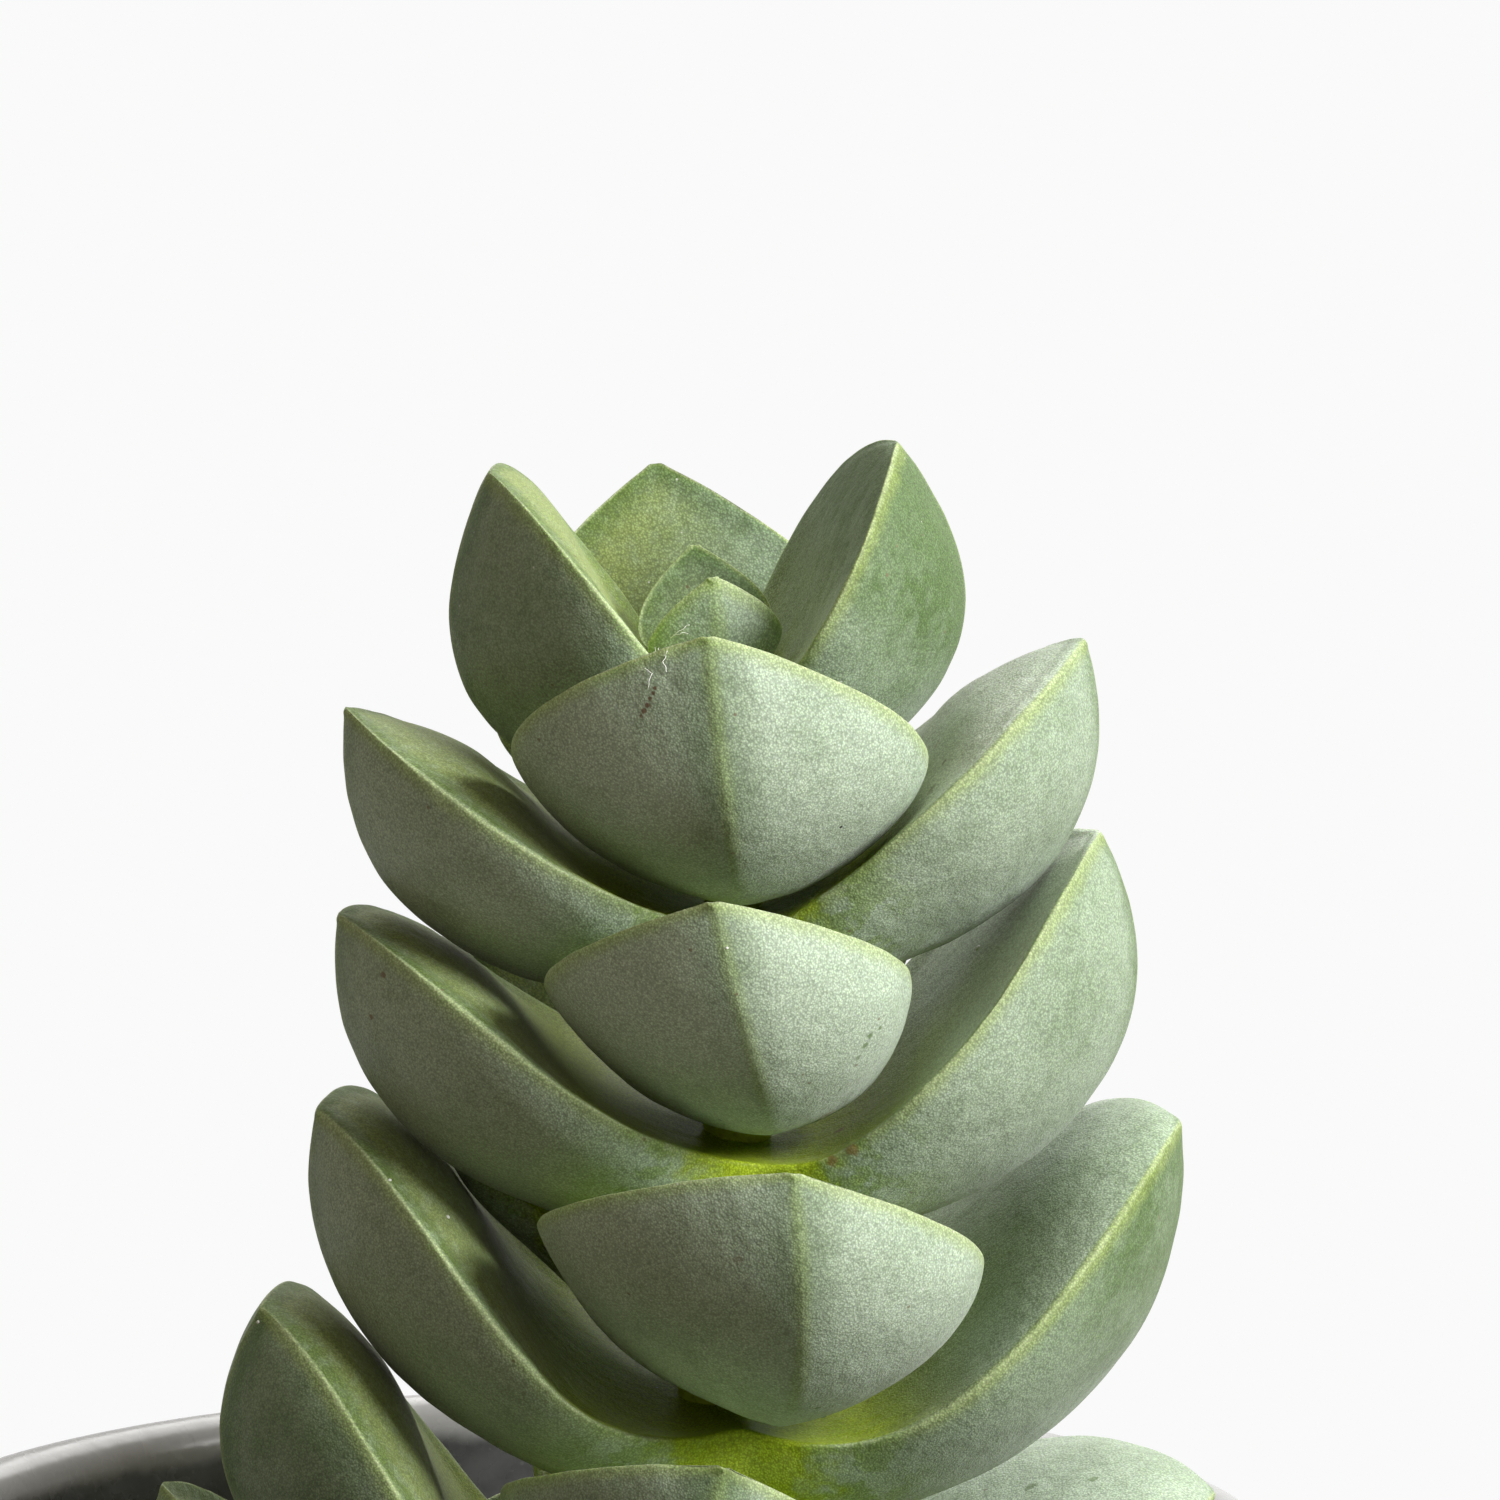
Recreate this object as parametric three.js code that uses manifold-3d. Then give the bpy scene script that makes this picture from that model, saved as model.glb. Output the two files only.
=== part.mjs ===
// A potted moonglow crassula: a leaning tower of thick, keeled, grey-green leaves in a round charcoal pot of
// soil. They grow in opposite pairs, each pair joined round the stem and turned a quarter from the next.
// Millimetres, +Z up, origin at the centre of the pot's foot. The side seen in the photograph faces -Y.
import * as THREE from 'three';
import { LoftGeometry } from 'three/addons/geometries/LoftGeometry.js';
import { mergeVertices } from 'three/addons/utils/BufferGeometryUtils.js';
import Module from 'manifold-3d';

const wasm = await Module();
wasm.setup();

const { degToRad, lerp, smoothstep } = THREE.MathUtils;

// Driving dimensions of the pot.
const RIM_DIAMETER = 85;
const FOOT_DIAMETER = 62;
const POT_HEIGHT = 80;
const WALL = 4.4;
const FLOOR = 5;
const FLOOR_BEVEL = 3;
const FOOT_RECESS = 1.6;
const FOOT_RING_WIDTH = 5.6;
const FOOT_BEVEL = 1.2;
const DRAIN_DIAMETER = 10;
const LIP_STEPS = 8;
const POT_SIDES = 56;

// Driving dimensions of the soil, whose surface heaves in waves. Each wave has a height, its radians per mm
// along X and along Y, and a phase. GAP lies between pieces that touch.
const SOIL_LEVEL = 56.4;
const SOIL_WAVES = [
  { height: 0.4, alongX: 0.42, alongY: 0.37, phase: 1.1 },
  { height: 0.3, alongX: -0.31, alongY: 0.52, phase: 0.4 },
  { height: 0.2, alongX: 1.13, alongY: -0.9, phase: 2.3 },
];
const SOIL_EDGE_FADE = 6;
const SOIL_RINGS = 12;
const SOIL_SIDES = 44;
const GAP = 0.35;

// Driving dimensions of the stem, which leans and then straightens. Its points are x, y, z.
const STEM_POINTS = [
  [1.8, 3.8, 44],
  [2.6, 3.4, 58],
  [4.8, 2.4, 70],
  [7.8, 1.2, 82],
  [9.5, 0.0, 95],
  [10.0, -1.2, 108],
  [9.4, -2.2, 122],
  [8.2, -3.0, 136],
].map(p => new THREE.Vector3(...p));
const STEM_FOOT = 46;
const STEM_TOP = 131.7;
const STEM_FOOT_RADIUS = 3.6;
const STEM_TIP_RADIUS = 1.1;
const STEM_SIDES = 12;
const STEM_STEPS = 20;
const HALVINGS = 40;

// The leaf pairs from the growing tip down. level is the height at which the pair joins the stem, turn the
// compass angle of its first leaf from -Y towards +X, half the half-width of a leaf, waist that of the
// joined middle, and depth the thickness at the waist. A leaf has its reach from the stem, the rise of its
// tip, the lift and crook of its margins near the stem and near the tip, the bow of its keel past the tip,
// the sag of its keel below the waist, the crown of its upper face as a share of its depth, its own yaw and
// roll in degrees, and the swing of its keel to one side.
const LEAF = { lift: 0.1, crook: 0.6, bow: 1.1, sag: 1.4, crown: -0.13, yaw: 0, roll: 0, swing: 0 };
const PAIRS = [
  { level: 133.0, turn: 8, half: 4.0, waist: 2.2, depth: 1.6, leaves: [
    { reach: 3.7, rise: 6.0, lift: 0.15, bow: 1.5, sag: 0.2 },
    { reach: 3.4, rise: 6.4, lift: 0.15, bow: 1.5, sag: 0.2 },
  ] },
  { level: 129.4, turn: 98, half: 10.0, waist: 4.6, depth: 3.8, leaves: [
    { reach: 12.0, rise: 15.5, lift: 0.35, crook: 0.95, bow: 1.8, sag: 2.5, roll: -1, crown: 0 },
    { reach: 12.0, rise: 16.6, lift: 0.45, crook: 0.95, bow: 1.8, sag: 1.5, roll: 3, crown: 0.1 },
  ] },
  { level: 124.6, turn: 0, half: 12.2, waist: 7.2, depth: 4.4, leaves: [
    { reach: 16.6, rise: 14.1, lift: 0.2, crook: 0.7, bow: 1.25, sag: 2.2, swing: 1.2, roll: -5 },
    { reach: 16.0, rise: 17.1, lift: 0.05, bow: 1.25, sag: 1.6, yaw: 10, roll: -2 },
  ] },
  { level: 118.4, turn: 97, half: 12.0, waist: 8.0, depth: 5.0, leaves: [
    { reach: 21.6, rise: 14.2, lift: 0.3, crook: 0.88, bow: 1.16, sag: 1, roll: -7, crown: 0.2 },
    { reach: 22.0, rise: 14.0, lift: 0.28, crook: 0.75, sag: 1.2, roll: -1, crown: 0.25 },
  ] },
  { level: 112.2, turn: -3, half: 10.7, waist: 8.2, depth: 5.8, leaves: [
    { reach: 20.4, rise: 12.0, lift: 0.22, crook: 0.7, sag: 2.2, swing: 2.4, roll: 1 },
    { reach: 20.0, rise: 15.4, crook: 0.7, sag: 1.2 },
  ] },
  { level: 105.4, turn: 98, half: 12.8, waist: 8.6, depth: 7.0, leaves: [
    { reach: 21.2, rise: 17.0, lift: -0.1, crook: 1, bow: 1.4, sag: 2, roll: -6, crown: 0 },
    { reach: 23.8, rise: 13.2, lift: 0.1, crook: 0.95, bow: 1.08, sag: 0, roll: -2, crown: 0.2 },
  ] },
  { level: 97.2, turn: 7, half: 13.2, waist: 8.8, depth: 6.6, leaves: [
    { reach: 23.0, rise: 12.2, lift: 0.2, crook: 0.7, sag: 5, swing: 2.6, roll: -4 },
    { reach: 23.0, rise: 16.6, lift: 0.1, crook: 0.7, yaw: 26 },
  ] },
  { level: 89.6, turn: 98, half: 13.8, waist: 9.0, depth: 8.0, leaves: [
    { reach: 25.4, rise: 17.8, lift: -0.2, crook: 1.05, bow: 1.16, sag: 1.5, roll: 3, crown: 0.2 },
    { reach: 25.8, rise: 14.6, lift: -0.25, crook: 1.1, bow: 1.05, sag: -1, roll: 5, crown: 0.2 },
  ] },
  { level: 80.4, turn: -1, half: 12.0, waist: 9.0, depth: 6.8, leaves: [
    { reach: 25.6, rise: 12.2, crook: 0.66 },
    { reach: 26.0, rise: 16.8, sag: 0.4 },
  ] },
  { level: 72.8, turn: 102, half: 14.4, waist: 9.0, depth: 5.4, leaves: [
    { reach: 30.5, rise: 15.6, lift: 0.2, crook: 1.15, bow: 1, sag: -6, crown: 0.2 },
    { reach: 29.2, rise: 16.6, lift: -0.15, crook: 1.05, bow: 1.16, sag: 0.4, roll: 7, crown: 0.2 },
  ] },
  { level: 66.6, turn: 8, half: 13.6, waist: 8.8, depth: 4.2, leaves: [
    { reach: 27.0, rise: 7.4, lift: 0.2, crook: 0.8, sag: 0 },
    { reach: 27.0, rise: 9.0, sag: 0 },
  ] },
  { level: 61.6, turn: 92, half: 12.0, waist: 7.4, depth: 3.4, leaves: [
    { reach: 22.0, rise: 7.0, sag: -1.6 },
    { reach: 30.4, rise: 17.0, crook: 0.9, sag: -1 },
  ] },
];

// Shares of a leaf's length from the stem at 0 to its blunt tip at 1, where its outline is laid down.
const STATIONS = [0, 0.13, 0.27, 0.41, 0.55, 0.68, 0.8, 0.9, 0.97, 1];
const TIP_SIZE = 0.3;
const TIP_LEAN_SHARE = 0.99;

// A leaf's outline from above: it flares from the waist to the shoulder, and closes to the tip past it.
const FLARE_START = -0.08;
const SHOULDER = 0.4;
const TIP_POWER = 0.9;
const TIP_FULLNESS = 0.95;
const TIP_TAPER = 0.25;

// Where the two curves of a leaf bend, as shares of its reach, how far the keel's outer bend has risen, and
// the power that carries the keel's swing outwards.
const MARGIN_INNER_BEND = 0.42;
const MARGIN_OUTER_BEND = 0.8;
const KEEL_INNER_BEND = 0.62;
const KEEL_OUTER_RISE = 0.1;
const SWING_POWER = 0.8;

// A leaf's section: steps down each flank from margin to keel and across the upper face, the dip of that
// face at the stem, the stretch over which it turns into the leaf's own crown, and the powers that round the
// flanks at the waist and sharpen keel and margins further out.
const FLANK_STEPS = [0.12, 0.4, 0.62, 0.82];
const FACE_STEPS = [0.55, 0, -0.55];
const FACE_DIP = 0.13;
const CROWN_SPAN = [0.2, 0.65];
const SHARP_FROM = 0.35;
const KEEL_POWER = [0.8, 1.5];
const MARGIN_POWER = [0.8, 1.15];

const stemLine = new THREE.CatmullRomCurve3(STEM_POINTS, false, 'centripetal');

// The point on the stem's line at a height, with the line's direction there.
function onStem(level) {
  let low = 0;
  let high = 1;
  for (let i = 0; i < HALVINGS; i++) {
    const middle = (low + high) / 2;
    if (stemLine.getPoint(middle).z < level) low = middle;
    else high = middle;
  }
  return { point: stemLine.getPoint(low), up: stemLine.getTangent(low) };
}

// Directions across the stem: out at a compass angle from -Y towards +X, and sideways from there.
function across(up, degrees) {
  const angle = degToRad(degrees);
  const out = new THREE.Vector3(Math.sin(angle), -Math.cos(angle), 0);
  out.addScaledVector(up, -out.dot(up)).normalize();
  return { out, side: new THREE.Vector3().crossVectors(up, out) };
}

function bezier(points, u) {
  const curve = new THREE.CubicBezierCurve(...points.map(p => new THREE.Vector2(...p)));
  return curve.getPoint(u);
}

// Half-width along a leaf, as a share of its widest: from the waist out to the shoulders and in to the tip.
function widthShare(u, waistShare) {
  if (u < SHOULDER) return lerp(waistShare, 1, smoothstep(u, FLARE_START, SHOULDER));
  const t = (u - SHOULDER) / (1 - SHOULDER);
  return (1 - t) ** TIP_POWER * (1 + TIP_FULLNESS * t) / (1 + TIP_TAPER * t * t);
}

// The closed outline of a section: a runs from margin to margin, b from the upper face down to the keel.
function sectionOutline(u, crown) {
  const sharp = smoothstep(u, 0, SHARP_FROM);
  const keelPower = lerp(...KEEL_POWER, sharp);
  const marginPower = lerp(...MARGIN_POWER, sharp);
  const flank = FLANK_STEPS.map(step => {
    const angle = step * Math.PI / 2;
    return [Math.cos(angle) ** keelPower, Math.sin(angle) ** marginPower];
  });
  const otherFlank = flank.map(([a, b]) => [-a, b]).reverse();
  const face = FACE_STEPS.map(a => [a, -crown * (1 - a * a)]).reverse();
  return [[1, 0], ...flank, [0, 1], ...otherFlank, [-1, 0], ...face];
}

// One section of a leaf. way is 1 for the first leaf of a pair and -1 for the second, so both run alike.
function leafSection(pair, leaf, way, stem, u) {
  const { reach, rise, lift, crook, bow, sag, crown, yaw, roll, swing } = { ...LEAF, ...leaf };
  const margins = [
    [0, 0],
    [MARGIN_INNER_BEND * reach, lift * rise],
    [MARGIN_OUTER_BEND * reach, crook * rise],
    [reach, rise],
  ];
  const keel = [
    [0, -pair.depth],
    [KEEL_INNER_BEND * reach, -pair.depth - sag],
    [bow * reach, KEEL_OUTER_RISE * rise],
    [reach, rise],
  ];
  const top = bezier(margins, u);
  const depth = Math.max(top.distanceTo(bezier(keel, u)), TIP_SIZE);
  const lean = Math.min(u, TIP_LEAN_SHARE);
  const down = bezier(keel, lean).sub(bezier(margins, lean)).normalize();
  const half = Math.max(pair.half * widthShare(u, pair.waist / pair.half), TIP_SIZE);
  const spread = smoothstep(u, 0, SHOULDER);
  const opposite = way > 0 ? 0 : 180;
  const { out, side } = across(stem.up, pair.turn + opposite + yaw * spread);
  const rolled = degToRad(roll * spread);
  const cosine = Math.cos(rolled);
  const sine = Math.sin(rolled);
  const rightward = side.clone().multiplyScalar(way * cosine).addScaledVector(stem.up, sine);
  const upward = stem.up.clone().multiplyScalar(cosine).addScaledVector(side, -way * sine);
  const swung = swing * Math.sin(Math.PI * u ** SWING_POWER);
  const crowned = lerp(-FACE_DIP, crown, smoothstep(u, ...CROWN_SPAN)) * Math.min(1, half / depth);
  return sectionOutline(u, crowned).map(([a, b]) => stem.point.clone()
    .addScaledVector(out, top.x + down.x * b * depth)
    .addScaledVector(stem.up, top.y)
    .addScaledVector(upward, down.y * b * depth)
    .addScaledVector(rightward, a * half + b * swung));
}

// A pair of leaves is one loft, from the tip of the first through the waist round the stem to the other tip.
function leafPairGeometry(pair) {
  const stem = onStem(pair.level);
  const [first, second] = pair.leaves;
  const inwards = [...STATIONS].reverse().map(u => leafSection(pair, first, 1, stem, u));
  const outwards = STATIONS.slice(1).map(u => leafSection(pair, second, -1, stem, u));
  return new LoftGeometry([...inwards, ...outwards], { capStart: true, capEnd: true });
}

// The stem, or with some allowance the hole that it stands in.
function stemGeometry(allowance) {
  const rings = [];
  for (let i = 0; i <= STEM_STEPS; i++) {
    const share = i / STEM_STEPS;
    const { point, up } = onStem(lerp(STEM_FOOT - allowance, STEM_TOP + allowance, share));
    const { out, side } = across(up, 0);
    const radius = lerp(STEM_FOOT_RADIUS, STEM_TIP_RADIUS, share) + allowance;
    const ring = [];
    for (let j = 0; j < STEM_SIDES; j++) {
      const angle = j / STEM_SIDES * Math.PI * 2;
      ring.push(point.clone()
        .addScaledVector(out, radius * Math.cos(angle))
        .addScaledVector(side, radius * Math.sin(angle)));
    }
    rings.push(ring);
  }
  return new LoftGeometry(rings, { capStart: true, capEnd: true });
}

// A turned shape about Z from a profile of [radius, height] points.
function turned(profile, sides) {
  return new THREE.LatheGeometry(profile.map(p => new THREE.Vector2(...p)), sides).rotateX(Math.PI / 2);
}

const innerFoot = FOOT_DIAMETER / 2 - WALL;
const innerRim = RIM_DIAMETER / 2 - WALL;

// The pot's inner wall, which widens evenly from the bevel at the floor to the start of the round lip.
function wallInside(height) {
  const share = (height - FLOOR - FLOOR_BEVEL) / (POT_HEIGHT - WALL / 2 - FLOOR - FLOOR_BEVEL);
  return lerp(innerFoot, innerRim, share);
}

function potGeometry() {
  const foot = FOOT_DIAMETER / 2;
  const drain = DRAIN_DIAMETER / 2;
  const lip = WALL / 2;
  const profile = [
    [drain, FOOT_RECESS],
    [foot - FOOT_RING_WIDTH, FOOT_RECESS],
    [foot - FOOT_RING_WIDTH + FOOT_RECESS, 0],
    [foot - FOOT_BEVEL, 0],
    [foot, FOOT_BEVEL],
  ];
  for (let i = 0; i <= LIP_STEPS; i++) {
    const angle = i / LIP_STEPS * Math.PI;
    profile.push([innerRim + lip + lip * Math.cos(angle), POT_HEIGHT - lip + lip * Math.sin(angle)]);
  }
  profile.push([innerFoot, FLOOR + FLOOR_BEVEL], [innerFoot - FLOOR_BEVEL, FLOOR], [drain, FLOOR]);
  return turned([...profile, profile[0]], POT_SIDES);
}

function soilHeave(x, y) {
  let heave = 0;
  for (const { height, alongX, alongY, phase } of SOIL_WAVES) {
    heave += height * Math.sin(alongX * x + alongY * y + phase);
  }
  return heave;
}

function soilGeometry() {
  const edge = wallInside(SOIL_LEVEL) - GAP;
  const profile = [
    [0, FLOOR + GAP],
    [innerFoot - FLOOR_BEVEL - GAP, FLOOR + GAP],
    [innerFoot - GAP, FLOOR + FLOOR_BEVEL + GAP],
  ];
  for (let i = SOIL_RINGS; i >= 0; i--) profile.push([edge * i / SOIL_RINGS, SOIL_LEVEL]);
  const geometry = turned(profile, SOIL_SIDES);
  const position = geometry.getAttribute('position');
  for (let i = 0; i < position.count; i++) {
    const x = position.getX(i);
    const y = position.getY(i);
    const z = position.getZ(i);
    const fade = smoothstep(edge - Math.hypot(x, y), 0, SOIL_EDGE_FADE);
    if (z > SOIL_LEVEL / 2) position.setZ(i, z + fade * soilHeave(x, y));
  }
  return geometry;
}

// A closed geometry as a solid that can be cut, and back. Points that lie this close are one.
const SAME_POINT = 1e-4;

function solid(geometry) {
  const bare = new THREE.BufferGeometry().setAttribute('position', geometry.getAttribute('position'));
  bare.setIndex(geometry.index);
  const merged = mergeVertices(bare, SAME_POINT);
  return new wasm.Manifold(new wasm.Mesh({
    numProp: 3,
    vertProperties: merged.attributes.position.array,
    triVerts: new Uint32Array(merged.index.array),
  }));
}

function geometryOf(manifold) {
  const mesh = manifold.getMesh();
  const geometry = new THREE.BufferGeometry();
  geometry.setAttribute('position', new THREE.BufferAttribute(mesh.vertProperties, 3));
  geometry.setIndex(new THREE.BufferAttribute(mesh.triVerts, 1));
  geometry.computeVertexNormals();
  return geometry;
}

const potted = new THREE.Group();

function add(name, geometry, color, roughness) {
  const mesh = new THREE.Mesh(geometry, new THREE.MeshStandardMaterial({ color, roughness, metalness: 0 }));
  mesh.name = name;
  potted.add(mesh);
}

const stemHole = solid(stemGeometry(GAP));
add('pot', potGeometry(), 0x46474a, 0.5);
add('soil', geometryOf(solid(soilGeometry()).subtract(stemHole)), 0x4a3b2e, 0.95);
add('stem', stemGeometry(0), 0x8a8258, 0.8);
PAIRS.forEach((pair, i) => {
  const name = 'leaf_pair_' + String(i + 1).padStart(2, '0');
  add(name, geometryOf(solid(leafPairGeometry(pair)).subtract(stemHole)), 0x8fa287, 0.6);
});

export default potted;
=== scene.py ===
"""The looks of a potted moonglow crassula: velvety leaves in crossed pairs, in a charcoal pot of soil."""
import math
import random

import bmesh
import bpy
import numpy as np
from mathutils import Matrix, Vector, noise
from mathutils.bvhtree import BVHTree


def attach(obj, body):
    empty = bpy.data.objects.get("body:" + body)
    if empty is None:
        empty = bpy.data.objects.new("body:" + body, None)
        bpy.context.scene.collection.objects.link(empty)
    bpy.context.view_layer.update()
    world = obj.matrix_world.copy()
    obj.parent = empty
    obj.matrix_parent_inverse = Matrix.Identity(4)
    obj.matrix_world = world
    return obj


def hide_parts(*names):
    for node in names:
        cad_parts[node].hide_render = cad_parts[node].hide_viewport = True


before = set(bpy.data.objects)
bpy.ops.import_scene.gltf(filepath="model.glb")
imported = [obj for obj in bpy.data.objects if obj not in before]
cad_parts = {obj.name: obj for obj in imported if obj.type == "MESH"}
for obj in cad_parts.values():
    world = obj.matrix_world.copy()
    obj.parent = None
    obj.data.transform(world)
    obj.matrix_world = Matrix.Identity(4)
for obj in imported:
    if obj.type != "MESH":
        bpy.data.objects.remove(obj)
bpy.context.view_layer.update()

MM = 0.001
TURN = 2 * math.pi

# The camera looks down a little at the tower of leaves. PHOTO_SIDE is the photograph's side in pixels.
PHOTO_SIDE = 1500
CAMERA_TARGET = Vector((10.65, 0, 127.3)) * MM
CAMERA_ELEVATION = math.radians(10.5)
CAMERA_DISTANCE = 1200 * MM
FIELD_WIDTH = 88 * MM
SENSOR = 36
CLIP_END = 20

# The stem's line and the leaf pairs, as in the part's source, in mm. Each pair has a level on the stem,
# the compass turn of its first leaf from -Y towards +X, the half-width of a leaf and of the waist, and a
# depth.
STEM_POINTS = [Vector(p) for p in (
    (1.8, 3.8, 44), (2.6, 3.4, 58), (4.8, 2.4, 70), (7.8, 1.2, 82),
    (9.5, 0.0, 95), (10.0, -1.2, 108), (9.4, -2.2, 122), (8.2, -3.0, 136),
)]
STEM_FOOT, STEM_TOP = 46, 131.7
STEM_FOOT_RADIUS, STEM_TIP_RADIUS = 3.6, 1.1
SMALL_SHARE = 0.0001
LEAF = dict(lift=0.1, crook=0.6, bow=1.1, sag=1.4, crown=-0.13, yaw=0, roll=0, swing=0)
PAIRS = [
    dict(level=133.0, turn=8, half=4.0, waist=2.2, depth=1.6, leaves=(
        dict(reach=3.7, rise=6.0, lift=0.15, bow=1.5, sag=0.2),
        dict(reach=3.4, rise=6.4, lift=0.15, bow=1.5, sag=0.2))),
    dict(level=129.4, turn=98, half=10.0, waist=4.6, depth=3.8, leaves=(
        dict(reach=12.0, rise=15.5, lift=0.35, crook=0.95, bow=1.8, sag=2.5, roll=-1, crown=0),
        dict(reach=12.0, rise=16.6, lift=0.45, crook=0.95, bow=1.8, sag=1.5, roll=3, crown=0.1))),
    dict(level=124.6, turn=0, half=12.2, waist=7.2, depth=4.4, leaves=(
        dict(reach=16.6, rise=14.1, lift=0.2, crook=0.7, bow=1.25, sag=2.2, swing=1.2, roll=-5),
        dict(reach=16.0, rise=17.1, lift=0.05, bow=1.25, sag=1.6, yaw=10, roll=-2))),
    dict(level=118.4, turn=97, half=12.0, waist=8.0, depth=5.0, leaves=(
        dict(reach=21.6, rise=14.2, lift=0.3, crook=0.88, bow=1.16, sag=1, roll=-7, crown=0.2),
        dict(reach=22.0, rise=14.0, lift=0.28, crook=0.75, sag=1.2, roll=-1, crown=0.25))),
    dict(level=112.2, turn=-3, half=10.7, waist=8.2, depth=5.8, leaves=(
        dict(reach=20.4, rise=12.0, lift=0.22, crook=0.7, sag=2.2, swing=2.4, roll=1),
        dict(reach=20.0, rise=15.4, crook=0.7, sag=1.2))),
    dict(level=105.4, turn=98, half=12.8, waist=8.6, depth=7.0, leaves=(
        dict(reach=21.2, rise=17.0, lift=-0.1, crook=1, bow=1.4, sag=2, roll=-6, crown=0),
        dict(reach=23.8, rise=13.2, lift=0.1, crook=0.95, bow=1.08, sag=0, roll=-2, crown=0.2))),
    dict(level=97.2, turn=7, half=13.2, waist=8.8, depth=6.6, leaves=(
        dict(reach=23.0, rise=12.2, lift=0.2, crook=0.7, sag=5, swing=2.6, roll=-4),
        dict(reach=23.0, rise=16.6, lift=0.1, crook=0.7, yaw=26))),
    dict(level=89.6, turn=98, half=13.8, waist=9.0, depth=8.0, leaves=(
        dict(reach=25.4, rise=17.8, lift=-0.2, crook=1.05, bow=1.16, sag=1.5, roll=3, crown=0.2),
        dict(reach=25.8, rise=14.6, lift=-0.25, crook=1.1, bow=1.05, sag=-1, roll=5, crown=0.2))),
    dict(level=80.4, turn=-1, half=12.0, waist=9.0, depth=6.8, leaves=(
        dict(reach=25.6, rise=12.2, crook=0.66),
        dict(reach=26.0, rise=16.8, sag=0.4))),
    dict(level=72.8, turn=102, half=14.4, waist=9.0, depth=5.4, leaves=(
        dict(reach=30.5, rise=15.6, lift=0.2, crook=1.15, bow=1, sag=-6, crown=0.2),
        dict(reach=29.2, rise=16.6, lift=-0.15, crook=1.05, bow=1.16, sag=0.4, roll=7, crown=0.2))),
    dict(level=66.6, turn=8, half=13.6, waist=8.8, depth=4.2, leaves=(
        dict(reach=27.0, rise=7.4, lift=0.2, crook=0.8, sag=0),
        dict(reach=27.0, rise=9.0, sag=0))),
    dict(level=61.6, turn=92, half=12.0, waist=7.4, depth=3.4, leaves=(
        dict(reach=22.0, rise=7.0, sag=-1.6),
        dict(reach=30.4, rise=17.0, crook=0.9, sag=-1))),
]

# A leaf's own shape, as in the part's source, with closer stations and finer steps round its section.
STATIONS = [0, 0.05, 0.1, 0.16, 0.22, 0.28, 0.34, 0.4, 0.46, 0.52, 0.58, 0.64, 0.7, 0.76, 0.81, 0.86, 0.9,
            0.935, 0.965, 0.985, 1]
TIP_SIZE = 0.3
TIP_LEAN_SHARE = 0.99
FLARE_START = -0.08
SHOULDER = 0.4
TIP_POWER, TIP_FULLNESS, TIP_TAPER = 0.9, 0.95, 0.25
MARGIN_INNER_BEND, MARGIN_OUTER_BEND = 0.42, 0.8
KEEL_INNER_BEND, KEEL_OUTER_RISE = 0.62, 0.1
SWING_POWER = 0.8
FLANK_STEPS = [0.03, 0.1, 0.22, 0.37, 0.52, 0.66, 0.78, 0.88, 0.95]
FACE_STEPS = [0.93, 0.8, 0.62, 0.38, 0.0, -0.38, -0.62, -0.8, -0.93]
FACE_DIP = 0.13
HALVINGS = 40
CROWN_SPAN = (0.2, 0.65)
SHARP_FROM = 0.35
KEEL_POWER = (0.8, 1.5)
MARGIN_POWER = (0.8, 1.15)

# The skin's own unevenness, in mm, and the rounded lip that a leaf's upper face has inside its margin.
BROAD_SWELL, BROAD_PER_MM = 0.16, 0.14
FINE_SWELL, FINE_PER_MM = 0.05, 0.55
LIP_DROP, LIP_FROM, LIP_TO = 0.3, 0.5, 2.4

# The pot, as in the part's source, in mm.
RIM_RADIUS, FOOT_RADIUS = 42.5, 31
POT_HEIGHT = 80
WALL = 4.4
FLOOR, FLOOR_BEVEL = 5, 3
FOOT_RECESS, FOOT_RING_WIDTH, FOOT_BEVEL = 1.6, 5.6, 1.2
DRAIN_RADIUS = 5
LIP_STEPS = 16
CORNER_RADIUS, CORNER_STEPS = 1.0, 4
WALL_STEPS = 14
POT_STEPS = 160

# The soil, as in the part's source, with finer crumbs on top, and the grit strewn over it.
SOIL_LEVEL = 56.4
SOIL_WAVES = ((0.4, 0.42, 0.37, 1.1), (0.3, -0.31, 0.52, 0.4), (0.2, 1.13, -0.9, 2.3))
SOIL_EDGE_FADE = 6
SOIL_STEPS, SOIL_RINGS = 180, 60
CRUMB, CRUMBS_PER_MM, CRUMB_FRACTAL = 0.5, 0.7, (0.8, 2.0, 4)
GAP = 0.35
GRIT_COUNT = 620
GRIT_SIZES, GRIT_SPREAD = (0.7, 1.7), (0.7, 1.0)
GRIT_SINK = 0.35
GRIT_CLEAR_OF_STEM, GRIT_CLEAR_OF_WALL = 5, 0.3
GRIT_FORMS, GRIT_FORM_APART = 6, 9
GRIT_LUMP, GRIT_LUMPS_PER_MM = 0.55, 1.1
GRIT_FEW_LARGE = 2.2
STEM_STEPS, STEM_SIDES = 110, 28
SCAR_SWELL, SCAR_WIDTH = 0.25, 0.7
STEM_ROUGHNESS, STEM_LUMPS_PER_MM, STEM_LUMPS_ROUND = 0.05, 0.6, 2


def lerp(a, b, share):
    return a + (b - a) * share


def smoothstep(x, low, high):
    share = min(1, max(0, (x - low) / (high - low)))
    return share * share * (3 - 2 * share)


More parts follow.
